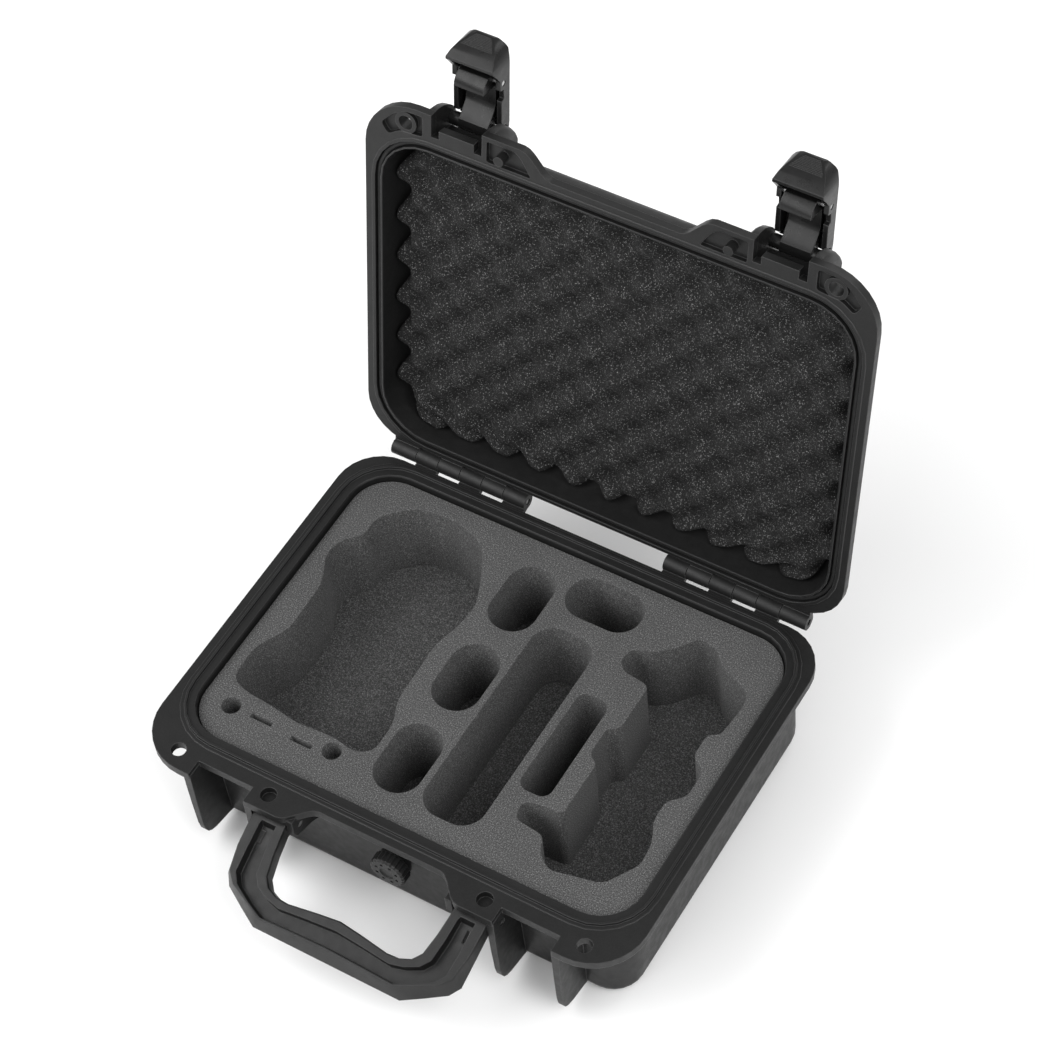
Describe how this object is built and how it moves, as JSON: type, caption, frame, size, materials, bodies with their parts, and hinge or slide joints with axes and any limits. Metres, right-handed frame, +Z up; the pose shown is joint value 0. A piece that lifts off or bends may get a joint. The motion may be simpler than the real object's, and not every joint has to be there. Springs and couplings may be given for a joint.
{
  "type": "drone carrying case",
  "caption": "Hard waterproof carrying case for a small folding drone, open, with a pocketed foam insert, convoluted lid foam, two latches and a folding handle.",
  "frame": {"origin": "middle of the bottom of the bounding box in the open rest pose, on the surface the case stands on", "axes": "+Z up, +Y from the handle side towards the hinge side, +X to the right seen from the handle side"},
  "size_m": [0.29, 0.3524, 0.3335],
  "materials": {
    "case_plastic": "fine moulded texture, satin black",
    "latch_plastic": "smoother moulded black, soft sheen",
    "base_foam": "closed-cell foam with a fine speckled grain, dark grey",
    "crate_foam": "open-cell convoluted foam, black",
    "seal_rubber": "matte black",
    "pin_steel": "plain ground pin"
  },
  "bodies": {
    "base": {"base_shell": "case_plastic", "base_foam_insert": "base_foam", "base_foam_pad": "base_foam", "hinge_pin_left": "pin_steel", "hinge_pin_right": "pin_steel", "handle_pin_left": "pin_steel", "handle_pin_right": "pin_steel", "valve_body": "case_plastic", "valve_o_ring": "seal_rubber", "valve_nut": "case_plastic"},
    "lid": {"lid_shell": "case_plastic", "seal_gasket": "seal_rubber", "lid_foam": "crate_foam", "latch_pin_left": "pin_steel", "latch_pin_right": "pin_steel"},
    "latch_left": {"latch_jaw_left": "latch_plastic", "lever_pin_left": "pin_steel"},
    "latch_right": {"latch_jaw_right": "latch_plastic", "lever_pin_right": "pin_steel"},
    "lever_left": {"latch_lever_left": "latch_plastic"},
    "lever_right": {"latch_lever_right": "latch_plastic"},
    "handle": {"handle": "case_plastic"},
    "valve_knob": {"valve_knob": "case_plastic"}
  },
  "joints": [
    {"name": "lid_hinge", "type": "hinge", "parent": "base", "child": "lid", "pos_m": [0, 0.09995, 0.07126], "axis": [1, 0, 0], "range_deg": [0, 100.4]},
    {"name": "latch_left_swing", "type": "hinge", "parent": "lid", "child": "latch_left", "pos_m": [-0.091, 0.1581, 0.28426], "axis": [1, 0, 0], "range_deg": [0, 88]},
    {"name": "latch_right_swing", "type": "hinge", "parent": "lid", "child": "latch_right", "pos_m": [0.091, 0.1581, 0.28426], "axis": [1, 0, 0], "range_deg": [0, 88]},
    {"name": "lever_left_pull", "type": "hinge", "parent": "latch_left", "child": "lever_left", "pos_m": [-0.091, 0.16584, 0.31344], "axis": [-1, 0, 0], "range_deg": [0, 5]},
    {"name": "lever_right_pull", "type": "hinge", "parent": "latch_right", "child": "lever_right", "pos_m": [0.091, 0.16584, 0.31344], "axis": [-1, 0, 0], "range_deg": [0, 5]},
    {"name": "handle_swing", "type": "hinge", "parent": "base", "child": "handle", "pos_m": [0, -0.12405, 0.058], "axis": [1, 0, 0], "range_deg": [-20, 70]},
    {"name": "valve_turn", "type": "hinge", "parent": "base", "child": "valve_knob", "pos_m": [0.003, -0.11505, 0.044], "axis": [0, -1, 0], "range_deg": [0, 90]}
  ]
}
